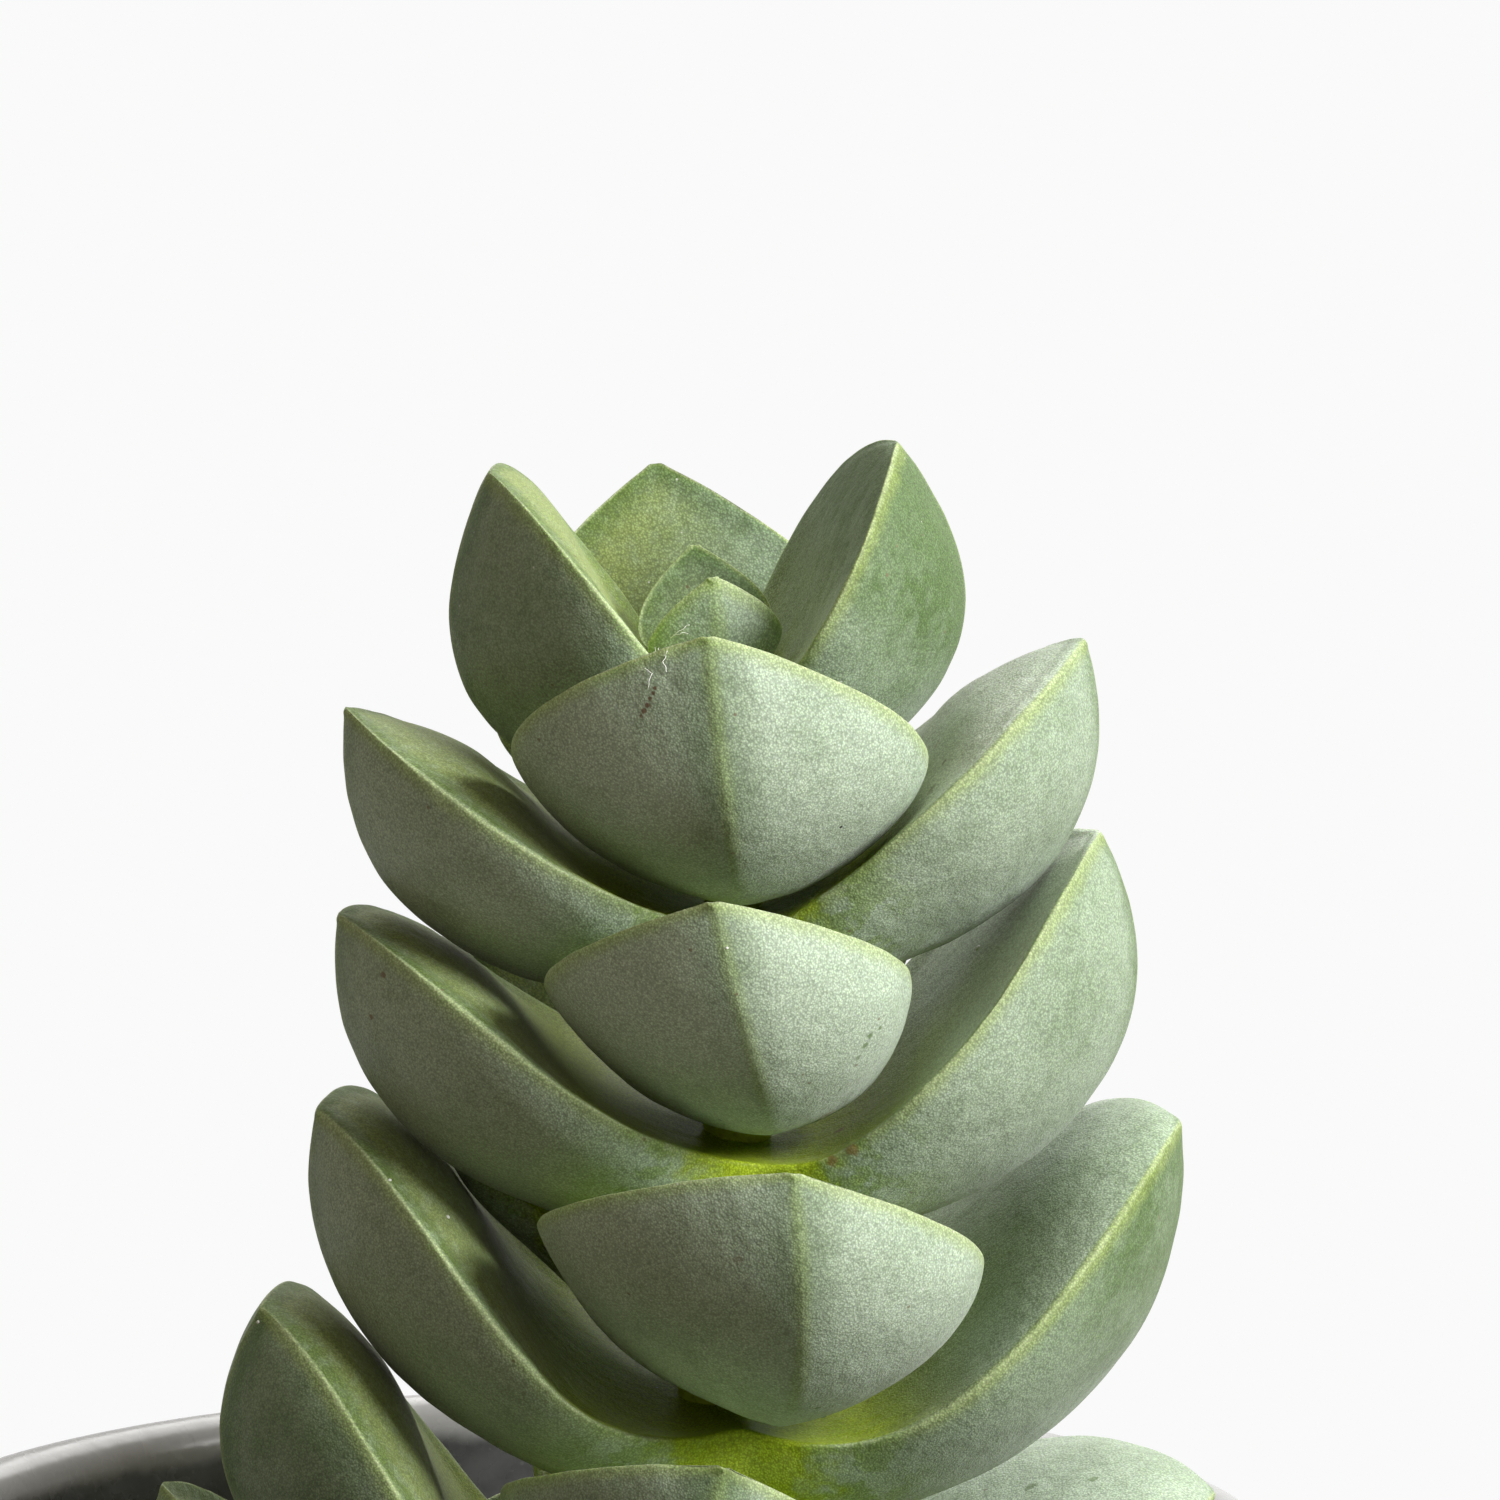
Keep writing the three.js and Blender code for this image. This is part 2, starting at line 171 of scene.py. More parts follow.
def select_none():
    """Leaves nothing selected and object mode on, before a piece is begun."""
    if bpy.context.object and bpy.context.object.mode != "OBJECT":
        bpy.ops.object.mode_set(mode="OBJECT")
    bpy.ops.object.select_all(action="DESELECT")


def finish_piece(obj, name, material, replaced=()):
    """Names a made piece, gives it its finish, and ties it to the pot's body."""
    obj.name = name
    obj.data.name = name
    obj.data.materials.clear()
    obj.data.materials.append(material)
    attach(obj, "root")
    if replaced:
        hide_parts(*replaced)
    return obj


def apply_modifier(obj, kind, **settings):
    modifier = obj.modifiers.new(kind.title(), kind)
    for key, value in settings.items():
        setattr(modifier, key, value)
    bpy.ops.object.select_all(action="DESELECT")
    obj.select_set(True)
    bpy.context.view_layer.objects.active = obj
    bpy.ops.object.modifier_apply(modifier=modifier.name)


# The stem's line: a centripetal Catmull-Rom curve through its points.

def stem_at(share):
    points = STEM_POINTS
    place = share * (len(points) - 1)
    index = min(int(place), len(points) - 2)
    weight = place - index
    p1, p2 = points[index], points[index + 1]
    p0 = points[index - 1] if index > 0 else 2 * p1 - p2
    p3 = points[index + 2] if index + 2 < len(points) else 2 * p2 - p1
    d0, d1, d2 = (math.sqrt((b - a).length) for a, b in ((p0, p1), (p1, p2), (p2, p3)))
    t1 = ((p1 - p0) / d0 - (p2 - p0) / (d0 + d1) + (p2 - p1) / d1) * d1
    t2 = ((p2 - p1) / d1 - (p3 - p1) / (d1 + d2) + (p3 - p2) / d2) * d1
    w, w2, w3 = weight, weight ** 2, weight ** 3
    return (p1 + w * t1 + w2 * (3 * (p2 - p1) - 2 * t1 - t2) + w3 * (2 * (p1 - p2) + t1 + t2))


def on_stem(level):
    """The stem's point at a height, and its direction there."""
    low, high = 0.0, 1.0
    for _ in range(HALVINGS):
        middle = (low + high) / 2
        if stem_at(middle).z < level:
            low = middle
        else:
            high = middle
    return stem_at(low), (stem_at(low + SMALL_SHARE) - stem_at(low - SMALL_SHARE)).normalized()


def across(up, degrees):
    angle = math.radians(degrees)
    out = Vector((math.sin(angle), -math.cos(angle), 0))
    out = (out - up * out.dot(up)).normalized()
    return out, up.cross(out)


def bezier(points, u):
    a, b, c, d = (Vector(p) for p in points)
    v = 1 - u
    return a * v ** 3 + b * (3 * v * v * u) + c * (3 * v * u * u) + d * u ** 3


def width_share(u, waist_share):
    if u < SHOULDER:
        return lerp(waist_share, 1, smoothstep(u, FLARE_START, SHOULDER))
    t = (u - SHOULDER) / (1 - SHOULDER)
    return (1 - t) ** TIP_POWER * (1 + TIP_FULLNESS * t) / (1 + TIP_TAPER * t * t)


def section_outline(u, crown):
    """The closed outline of a section: right margin, flank, keel, flank, left margin, and over the face."""
    sharp = smoothstep(u, 0, SHARP_FROM)
    keel_power = lerp(*KEEL_POWER, sharp)
    margin_power = lerp(*MARGIN_POWER, sharp)
    flank = []
    for step in FLANK_STEPS:
        angle = step * math.pi / 2
        flank.append((math.cos(angle) ** keel_power, math.sin(angle) ** margin_power))
    other = [(-a, b) for a, b in reversed(flank)]
    face = [(a, -crown * (1 - a * a)) for a in reversed(FACE_STEPS)]
    return [(1, 0), *flank, (0, 1), *other, (-1, 0), *face]


RING = 2 * len(FLANK_STEPS) + len(FACE_STEPS) + 3
KEEL_AT = len(FLANK_STEPS) + 1
LEFT_AT = 2 * KEEL_AT


def leaf_section(pair, leaf, way, stem, u):
    """One ring of a leaf, in mm. way is 1 for the first leaf of a pair and -1 for the second."""
    point, up = stem
    leaf = {**LEAF, **leaf}
    reach, rise, depth_at_waist = leaf["reach"], leaf["rise"], pair["depth"]
    margins = ((0, 0), (MARGIN_INNER_BEND * reach, leaf["lift"] * rise),
               (MARGIN_OUTER_BEND * reach, leaf["crook"] * rise), (reach, rise))
    keel = ((0, -depth_at_waist), (KEEL_INNER_BEND * reach, -depth_at_waist - leaf["sag"]),
            (leaf["bow"] * reach, KEEL_OUTER_RISE * rise), (reach, rise))
    top = bezier(margins, u)
    depth = max((top - bezier(keel, u)).length, TIP_SIZE)
    lean = min(u, TIP_LEAN_SHARE)
    down = (bezier(keel, lean) - bezier(margins, lean)).normalized()
    half = max(pair["half"] * width_share(u, pair["waist"] / pair["half"]), TIP_SIZE)
    spread = smoothstep(u, 0, SHOULDER)
    opposite = 0 if way > 0 else 180
    out, side = across(up, pair["turn"] + opposite + leaf["yaw"] * spread)
    rolled = math.radians(leaf["roll"] * spread)
    rightward = side * (way * math.cos(rolled)) + up * math.sin(rolled)
    upward = up * math.cos(rolled) - side * (way * math.sin(rolled))
    swung = leaf["swing"] * math.sin(math.pi * u ** SWING_POWER)
    crown = lerp(-FACE_DIP, leaf["crown"], smoothstep(u, *CROWN_SPAN)) * min(1, half / depth)
    return [
        point + out * (top.x + down.x * b * depth) + up * top.y + upward * (down.y * b * depth)
        + rightward * (a * half + b * swung)
        for a, b in section_outline(u, crown)
    ]


def ring_marks(ring, u, bare):
    """Per point of a ring: mm from keel and from the nearer margin, share out, upper face, and bareness."""
    steps = [(ring[(i + 1) % RING] - ring[i]).length for i in range(RING)]
    along = [0.0]
    for step in steps:
        along.append(along[-1] + step)
    whole = along.pop()
    marks = []
    for i in range(RING):
        from_keel = min(abs(along[i] - along[KEEL_AT]), whole - abs(along[i] - along[KEEL_AT]))
        from_right = min(along[i], whole - along[i])
        from_left = abs(along[i] - along[LEFT_AT])
        face = 1.0 if i > LEFT_AT else 0.5 if i in (0, LEFT_AT) else 0.0
        marks.append((from_keel, min(from_right, from_left), u, face, bare))
    return marks


def values_of(mesh, mark):
    values = np.empty(len(mesh.vertices))
    mesh.attributes[mark].data.foreach_get("value", values)
    return values


def weather(obj):
    """Sinks a leaf's upper face inside its margin, and moves the skin along its normals by soft noise."""
    mesh = obj.data
    count = len(mesh.vertices)
    places = np.empty(count * 3)
    normals = np.empty(count * 3)
    mesh.vertices.foreach_get("co", places)
    mesh.vertices.foreach_get("normal", normals)
    places = places.reshape(-1, 3)
    inside = np.clip((values_of(mesh, "from_edge") - LIP_FROM) / (LIP_TO - LIP_FROM), 0, 1)
    inside = inside * inside * (3 - 2 * inside)
    face = np.clip(2 * values_of(mesh, "face") - 1, 0, 1)
    grown = np.clip(values_of(mesh, "out") / SHARP_FROM, 0, 1)
    broad = [noise.noise(Vector(p) * (BROAD_PER_MM / MM)) for p in places]
    fine = [noise.noise(Vector(p) * (FINE_PER_MM / MM)) for p in places]
    moved = BROAD_SWELL * np.array(broad) + FINE_SWELL * np.array(fine)
    moved -= LIP_DROP * inside * face * grown * (1 - values_of(mesh, "bare"))
    places += normals.reshape(-1, 3) * (moved * MM)[:, None]
    mesh.vertices.foreach_set("co", places.ravel())
    mesh.update()


def extruded(rings):
    """A closed piece, extruded ring by ring from the first, with the ring and step of each vertex."""
    count = len(rings[0])
    select_none()
    bpy.ops.mesh.primitive_circle_add(vertices=count, radius=MM, location=(0, 0, 0))
    obj = bpy.context.object
    mesh = obj.data
    bpy.ops.object.mode_set(mode="EDIT")
    bm = bmesh.from_edit_mesh(mesh)
    bm.verts.ensure_lookup_table()
    places = {}
    for i in range(count):
        bm.verts[i].co = rings[0][i] * MM
        places[i] = (0, i)
    bmesh.update_edit_mesh(mesh)
    for k in range(1, len(rings)):
        bpy.ops.mesh.extrude_region_move()
        bm = bmesh.from_edit_mesh(mesh)
        for vert in [v for v in bm.verts if v.select]:
            before = next(e.other_vert(vert) for e in vert.link_edges if not e.other_vert(vert).select)
            i = places[before.index][1]
            places[vert.index] = (k, i)
            vert.co = rings[k][i] * MM
        bmesh.update_edit_mesh(mesh)
    bpy.ops.mesh.edge_face_add()
    bpy.ops.mesh.select_all(action="DESELECT")
    bm = bmesh.from_edit_mesh(mesh)
    for vert in bm.verts:
        vert.select = places[vert.index][0] == 0
    bm.select_flush(True)
    bmesh.update_edit_mesh(mesh)
    bpy.ops.mesh.edge_face_add()
    bpy.ops.mesh.select_all(action="SELECT")
    bpy.ops.mesh.normals_make_consistent(inside=False)
    bpy.ops.object.mode_set(mode="OBJECT")
    return obj, places


MARKS = ("from_keel", "from_edge", "out", "face", "bare")


def leaf_pair(pair, bare):
    """A pair of joined leaves: a ring at the first tip, extruded station by station through the waist."""
    stem = on_stem(pair["level"])
    first, second = pair["leaves"]
    stations = [(first, 1, u) for u in reversed(STATIONS)] + [(second, -1, u) for u in STATIONS[1:]]
    rings = [leaf_section(pair, leaf, way, stem, u) for leaf, way, u in stations]
    marks = []
    for ring, (_, way, u) in zip(rings, stations):
        own = bare[0] if way > 0 else bare[1]
        # painted light: towards each leaf's base the bareness eases to one low value, which paints most
        # lower flanks paler for light reflected up onto them
        marks.append(ring_marks(ring, u, lerp(BASE_BARENESS_FOR_BOUNCE, own, smoothstep(u, *BARE_SPAN))))

    obj, places = extruded(rings)
    mesh = obj.data
    own_marks = []
    for i in range(len(mesh.vertices)):
        ring, step = places[i]
        own_marks.append(marks[ring][step])
    for mark, values in zip(MARKS, zip(*own_marks)):
        layer = mesh.attributes.new(mark, "FLOAT", "POINT")
        layer.data.foreach_set("value", values)
    apply_modifier(obj, "SUBSURF", levels=2, render_levels=2)
    weather(obj)
    mesh.shade_smooth()
    return obj


# Node materials. A Look keeps a material's tree and adds nodes to it, with plain values or outputs of other
# nodes.

class Look:
    def __init__(self, name):
        self.material = bpy.data.materials.new(name)
        self.material.use_nodes = True
        self.tree = self.material.node_tree
        self.shader = self.tree.nodes["Principled BSDF"]
        spot = self.add("ShaderNodeTexCoord").outputs["Object"]
        scaled = self.add("ShaderNodeVectorMath", {"Vector": spot}, operation="SCALE")
        scaled.inputs["Scale"].default_value = 1 / MM
        self.place = scaled.outputs["Vector"]

    def put(self, socket, value):
        if isinstance(value, bpy.types.NodeSocket):
            self.tree.links.new(value, socket)
        elif isinstance(value, tuple) and len(value) == 3 and socket.type == "RGBA":
            socket.default_value = (*value, 1)
        else:
            socket.default_value = value

    def add(self, kind, inputs=None, **settings):
        node = self.tree.nodes.new(kind)
        for key, value in settings.items():
            setattr(node, key, value)
        for key, value in (inputs or {}).items():
            self.put(node.inputs[key], value)
        return node

    def math(self, operation, a, b=0.0):
        return self.add("ShaderNodeMath", {0: a, 1: b}, operation=operation).outputs[0]

    def ramp(self, value, low, high, start=0.0, end=1.0):
        """A smooth step from start at low to end at high."""
        inputs = {"Value": value, "From Min": low, "From Max": high, "To Min": start, "To Max": end}
        return self.add("ShaderNodeMapRange", inputs, interpolation_type="SMOOTHSTEP").outputs["Result"]

    def mix(self, share, a, b, blend="MIX"):
        node = self.add("ShaderNodeMix", data_type="RGBA", blend_type=blend)
        self.put(node.inputs[0], share)
        self.put(node.inputs[6], a)
        self.put(node.inputs[7], b)
        return node.outputs[2]

    def noise(self, per_mm, detail=2.0, roughness=0.5):
        inputs = {"Vector": self.place, "Scale": per_mm, "Detail": detail, "Roughness": roughness}
        return self.add("ShaderNodeTexNoise", inputs).outputs["Fac"]

    def cells(self, per_mm):
        inputs = {"Vector": self.place, "Scale": per_mm}
        return self.add("ShaderNodeTexVoronoi", inputs).outputs["Distance"]

    def mark(self, name):
        return self.add("ShaderNodeAttribute", attribute_name=name).outputs["Fac"]

    def bump(self, height, distance, below=None):
        inputs = {"Height": height, "Distance": distance * MM, "Strength": 1.0}
        if below is not None:
            inputs["Normal"] = below
        return self.add("ShaderNodeBump", inputs).outputs["Normal"]

    def set(self, **values):
        for key, value in values.items():
            self.put(self.shader.inputs[key.replace("_", " ")], value)
        return self.material


def loop_piece(points, closed=True):
    """Begins a piece as a circle whose corners are moved to points in mm, and left open where asked."""
    select_none()
    bpy.ops.mesh.primitive_circle_add(vertices=len(points), radius=RIM_RADIUS * MM, location=(0, 0, 0))
    obj = bpy.context.object
    bpy.ops.object.mode_set(mode="EDIT")
    bm = bmesh.from_edit_mesh(obj.data)
    bm.verts.ensure_lookup_table()
    for vert, point in zip(bm.verts, points):
        vert.co = Vector(point) * MM
    bmesh.update_edit_mesh(obj.data)
    if not closed:
        bpy.ops.mesh.select_all(action="DESELECT")
        bm = bmesh.from_edit_mesh(obj.data)
        bm.verts.ensure_lookup_table()
        first, last = bm.verts[0], bm.verts[len(points) - 1]
        next(e for e in first.link_edges if e.other_vert(first) == last).select = True
        bmesh.update_edit_mesh(obj.data)
        bpy.ops.mesh.delete(type="EDGE_FACE")
    bpy.ops.mesh.select_all(action="SELECT")
    return obj


def turned(profile, steps, closed=True):
    """Spins a profile of (radius, height) points, in mm, once round Z."""
    obj = loop_piece([(radius, 0, height) for radius, height in profile], closed)
    bpy.ops.mesh.spin(steps=steps, angle=TURN, center=(0, 0, 0), axis=(0, 0, 1))
    bpy.ops.mesh.select_all(action="SELECT")
    bpy.ops.mesh.remove_doubles(threshold=0.01 * MM)
    bpy.ops.mesh.normals_make_consistent(inside=False)
    bpy.ops.object.mode_set(mode="OBJECT")
    return obj


def rounded(before, corner, after, radius=CORNER_RADIUS):
    """A corner as a short curve between the points a little way along its two sides."""
    before, corner, after = (Vector(p) for p in (before, corner, after))
    start = corner + (before - corner).normalized() * radius
    end = corner + (after - corner).normalized() * radius
    shares = [i / CORNER_STEPS for i in range(CORNER_STEPS + 1)]
    return [tuple(start * (1 - s) ** 2 + corner * (2 * s * (1 - s)) + end * s ** 2) for s in shares]


def wall_inside(height):
    """The radius of the pot's inner wall at a height."""
    low, high = FLOOR + FLOOR_BEVEL, POT_HEIGHT - WALL / 2
    return lerp(FOOT_RADIUS - WALL, RIM_RADIUS - WALL, (height - low) / (high - low))


def pot():
    """The turned pot: a foot ring, a tapered wall, a full-round lip and a drain hole."""
    inner_foot = FOOT_RADIUS - WALL
    lip = WALL / 2
    corners = [
        (DRAIN_RADIUS, FLOOR), (DRAIN_RADIUS, FOOT_RECESS), (FOOT_RADIUS - FOOT_RING_WIDTH, FOOT_RECESS),
        (FOOT_RADIUS - FOOT_RING_WIDTH + FOOT_RECESS, 0), (FOOT_RADIUS - FOOT_BEVEL, 0),
        (FOOT_RADIUS, FOOT_BEVEL), (RIM_RADIUS, POT_HEIGHT - lip),
    ]
    profile = []
    for before, corner, after in zip(corners, corners[1:], corners[2:]):
        profile += rounded(before, corner, after, min(CORNER_RADIUS, FOOT_BEVEL / 2))
    for i in range(1, WALL_STEPS):
        profile.append(tuple(Vector(corners[-2]).lerp(Vector(corners[-1]), i / WALL_STEPS)))
    for i in range(LIP_STEPS + 1):
        angle = math.pi * i / LIP_STEPS
        radius = RIM_RADIUS - lip + lip * math.cos(angle)
        profile.append((radius, POT_HEIGHT - lip + lip * math.sin(angle)))
    inside = [(RIM_RADIUS - WALL, POT_HEIGHT - lip), (inner_foot, FLOOR + FLOOR_BEVEL),
              (inner_foot - FLOOR_BEVEL, FLOOR), (DRAIN_RADIUS, FLOOR), (DRAIN_RADIUS, FOOT_RECESS)]
    for i in range(1, WALL_STEPS):
        profile.append(tuple(Vector(inside[0]).lerp(Vector(inside[1]), i / WALL_STEPS)))
    for before, corner, after in zip(inside, inside[1:], inside[2:]):
        profile += rounded(before, corner, after)
    obj = turned(profile, POT_STEPS)
    obj.data.shade_smooth()
    return finish_piece(obj, "pot_glazed", glaze_look(), ("pot",))


def soil_height(x, y):
    """How far the soil's top lies above its level at a place, in mm: broad waves and fine crumbs."""
    heave = sum(height * math.sin(a * x + b * y + phase) for height, a, b, phase in SOIL_WAVES)
    place = Vector((x, y, 0))
    crumbs = noise.fractal(place * CRUMBS_PER_MM, *CRUMB_FRACTAL)
    edge = wall_inside(SOIL_LEVEL) - GAP
    return smoothstep(edge - math.hypot(x, y), 0, SOIL_EDGE_FADE) * heave + CRUMB * crumbs


def soil():
    edge = wall_inside(SOIL_LEVEL) - GAP
    inner_foot = FOOT_RADIUS - WALL
    profile = [(0, FLOOR + GAP), (inner_foot - FLOOR_BEVEL - GAP, FLOOR + GAP),
               (inner_foot - GAP, FLOOR + FLOOR_BEVEL + GAP)]
    profile += [(edge * i / SOIL_RINGS, SOIL_LEVEL) for i in range(SOIL_RINGS, -1, -1)]
    obj = turned(profile, SOIL_STEPS, closed=False)
    for vertex in obj.data.vertices:
        x, y, z = vertex.co / MM
        if z > SOIL_LEVEL / 2:
            vertex.co.z += soil_height(x, y) * MM
    obj.data.shade_smooth()
    return finish_piece(obj, "soil_bed", soil_look(), ("soil",))


def stem():
    """The stem: rings extruded up its line, a little swollen where a leaf pair joins it."""
    levels = [pair["level"] for pair in PAIRS]
    rings = []
    for i in range(STEM_STEPS + 1):
        share = i / STEM_STEPS
        level = lerp(STEM_FOOT, STEM_TOP, share)
        point, up = on_stem(level)
        out, side = across(up, 0)
        swell = max(math.exp(-((level - joint) / SCAR_WIDTH) ** 2) for joint in levels)
        radius = lerp(STEM_FOOT_RADIUS, STEM_TIP_RADIUS, share) + SCAR_SWELL * swell
        ring = []
        for j in range(STEM_SIDES):
            angle = TURN * j / STEM_SIDES
            direction = out * math.cos(angle) + side * math.sin(angle)
            lump = noise.noise(point * STEM_LUMPS_PER_MM + direction * STEM_LUMPS_ROUND)
            ring.append(point + direction * (radius * (1 + STEM_ROUGHNESS * lump)))
        rings.append(ring)
    obj, _ = extruded(rings)
    obj.data.shade_smooth()
    return finish_piece(obj, "stem_bark", stem_look(), ("stem",))


GRIT_COLORS = [(0.36, 0.32, 0.26), (0.17, 0.1, 0.06), (0.06, 0.055, 0.05)]


def grit(colors):
    """Small broken stones over the soil: a few forms are modelled once, then copied, turned and sunk."""
    forms = []
    for number in range(GRIT_FORMS):
        select_none()
        bpy.ops.mesh.primitive_ico_sphere_add(subdivisions=2, radius=MM, location=(0, 0, 0))
        form = bpy.context.object
        for vertex in form.data.vertices:
            apart = Vector((number * GRIT_FORM_APART, 0, 0))
            lump = noise.noise(vertex.co * (GRIT_LUMPS_PER_MM / MM) + apart)
            vertex.co *= 1 + GRIT_LUMP * lump
        form.data.shade_smooth()
        forms.append(form)
    heaps = [[] for _ in colors]
    edge = wall_inside(SOIL_LEVEL) - GAP
    stem_place = on_stem(SOIL_LEVEL)[0]
    while sum(map(len, heaps)) < GRIT_COUNT:
        size = lerp(*GRIT_SIZES, DICE.random() ** GRIT_FEW_LARGE)
        radius = (edge - size - GRIT_CLEAR_OF_WALL) * math.sqrt(DICE.random())
        angle = DICE.uniform(0, TURN)
        x, y = radius * math.cos(angle), radius * math.sin(angle)
        if math.hypot(x - stem_place.x, y - stem_place.y) < GRIT_CLEAR_OF_STEM:
            continue
        z = SOIL_LEVEL + soil_height(x, y) + size * (0.5 - GRIT_SINK)
        form = DICE.choice(forms)
        stone = form.copy()
        stone.data = form.data.copy()
        bpy.context.scene.collection.objects.link(stone)
        stone.location = Vector((x, y, z)) * MM
        stone.rotation_euler = [DICE.uniform(0, TURN) for _ in range(3)]
        stone.scale = [size * DICE.uniform(*GRIT_SPREAD) for _ in range(3)]
        DICE.choice(heaps).append(stone)
    for form in forms:
        bpy.data.objects.remove(form)
    for number, (heap, color) in enumerate(zip(heaps, colors), 1):
        select_none()
        for stone in heap:
            stone.select_set(True)
        bpy.context.view_layer.objects.active = heap[0]
        bpy.ops.object.transform_apply(location=True, rotation=True, scale=True)
        bpy.ops.object.join()
        finish_piece(bpy.context.object, f"grit_{number}", stone_look(f"grit_{number}", color))


def shade(base, share):
    return tuple(channel * share for channel in base)


# Colours of the leaves' skin, as plain linear values, and how bare of bloom the two leaves of each pair are.
# Some are painted light and shade: the pale face colour is painted light on the upper faces of the
# right-hand leaves, the two face greens are painted shade on those of the left-hand leaves, and the base
# colour is partly a painted glow. The spans are of the share of a leaf's length, of X and of height in mm.
BLOOM, FLESH, LIT_FACE = (0.43, 0.53, 0.40), (0.10, 0.165, 0.055), (0.62, 0.70, 0.58)
RIM_LINE, RIM_BAND = (0.46, 0.55, 0.30), (0.30, 0.38, 0.09)
# painted shade: the two face greens below darken the upper faces of the left-hand leaves
KEEL_LINE, SHADED_FACE_GREEN, SHADED_FACE_INNER = (0.25, 0.34, 0.10), (0.12, 0.18, 0.04), (0.23, 0.29, 0.09)
# the base colour is partly painted light: the leaf bases' own bare yellow-green, made bright for the glow of
# light through the flesh
BASE, RUBBED = (0.34, 0.44, 0.015), (0.20, 0.31, 0.05)
BARE = [(-0.2, 0.6), (1.3, 0.6), (0.0, 0.65), (0.35, 0.2), (-0.2, 0.3), (0.5, 0.25),
        (0.0, 0.3), (1.1, 0.25), (0.4, 0.4), (0.6, 0.8), (0.4, 0.4), (0.5, 0.5)]
# painted light: the bareness at a leaf's base, kept low so the lower flanks turn paler for light reflected
# up onto them
BASE_BARENESS_FOR_BOUNCE = 0.1
BARE_SPAN = (0.1, 0.8)
# painted shade: upper faces whose X lies below this span, on the left-hand leaves, are painted dark green
# for the shadow of the leaves above and in front
SHADED_SIDE_SPAN = (12, 2)
# painted light: the second span sets the heights from which the upper faces of the older right-hand leaves
# are painted pale
YOUNG_SPAN, LIT_FACE_SPAN = (131, 135), (105, 112)
CORKY_SPAN = (82, 66)

# Blemishes on the leaves, at the pixels of the photograph where they show. Each has a radius in mm, a
# colour, and how strongly it covers the skin.
SCAR, SPECK, SCRATCH = (0.13, 0.075, 0.04), (0.012, 0.012, 0.01), (0.09, 0.15, 0.04)
STAIN, FRECKLE, MOTE = (0.24, 0.13, 0.03), (0.16, 0.11, 0.06), (0.66, 0.68, 0.62)
BLEMISHES = [
    (655, 688, 0.14, SCAR, 0.9), (653, 693, 0.17, SCAR, 0.9), (650, 699, 0.2, SCAR, 0.9),
    (647, 705, 0.22, SCAR, 0.9), (644, 711, 0.22, SCAR, 0.9), (641, 716, 0.16, SCAR, 0.8),
    (841, 827, 0.16, SPECK, 1.0),
    (870, 1036, 0.3, SCRATCH, 0.8), (865, 1046, 0.32, SCRATCH, 0.8), (858, 1058, 0.26, SCRATCH, 0.7),
    (880, 1028, 0.18, SCRATCH, 0.8), (840, 1090, 0.2, SCRATCH, 0.7),
    (818, 1408, 0.26, SCRATCH, 0.8), (824, 1417, 0.22, SCRATCH, 0.8),
    (720, 1120, 0.2, SPECK, 0.7), (790, 1125, 0.16, SPECK, 0.7),
    (826, 1115, 0.6, STAIN, 0.7), (840, 1130, 0.5, STAIN, 0.7), (852, 1150, 0.5, STAIN, 0.7),
    (832, 1161, 0.45, STAIN, 0.7),
    (383, 975, 0.26, FRECKLE, 0.9), (371, 1017, 0.26, FRECKLE, 0.9), (738, 1260, 0.4, FRECKLE, 0.4),
    (936, 745, 0.4, FRECKLE, 0.4), (944, 762, 0.3, FRECKLE, 0.6), (931, 790, 0.5, FRECKLE, 0.5),
    (1030, 1487, 0.45, SCRATCH, 0.8), (1093, 1479, 0.4, SCRATCH, 0.7),
]


def photo_ray(px, py):
    """The camera's place and the direction in which it sees a pixel of the photograph."""
    turn = CAMERA.matrix_basis.to_quaternion()
    across_frame = (px / PHOTO_SIDE - 0.5) * FIELD_WIDTH
    up_frame = (0.5 - py / PHOTO_SIDE) * FIELD_WIDTH
    direction = turn @ Vector((across_frame, up_frame, -CAMERA_DISTANCE))
    return CAMERA.location, direction.normalized()


def seen_at(px, py, trees):
    """The point and the normal of the nearest leaf that the camera sees at a pixel, or None."""
    start, direction = photo_ray(px, py)
    hits = [tree.ray_cast(start, direction) for tree in trees]
    hits = [(distance, point, normal) for point, normal, _, distance in hits if point is not None]
    if not hits:
        return None
    _, point, normal = min(hits, key=lambda hit: hit[0])
    return point, normal


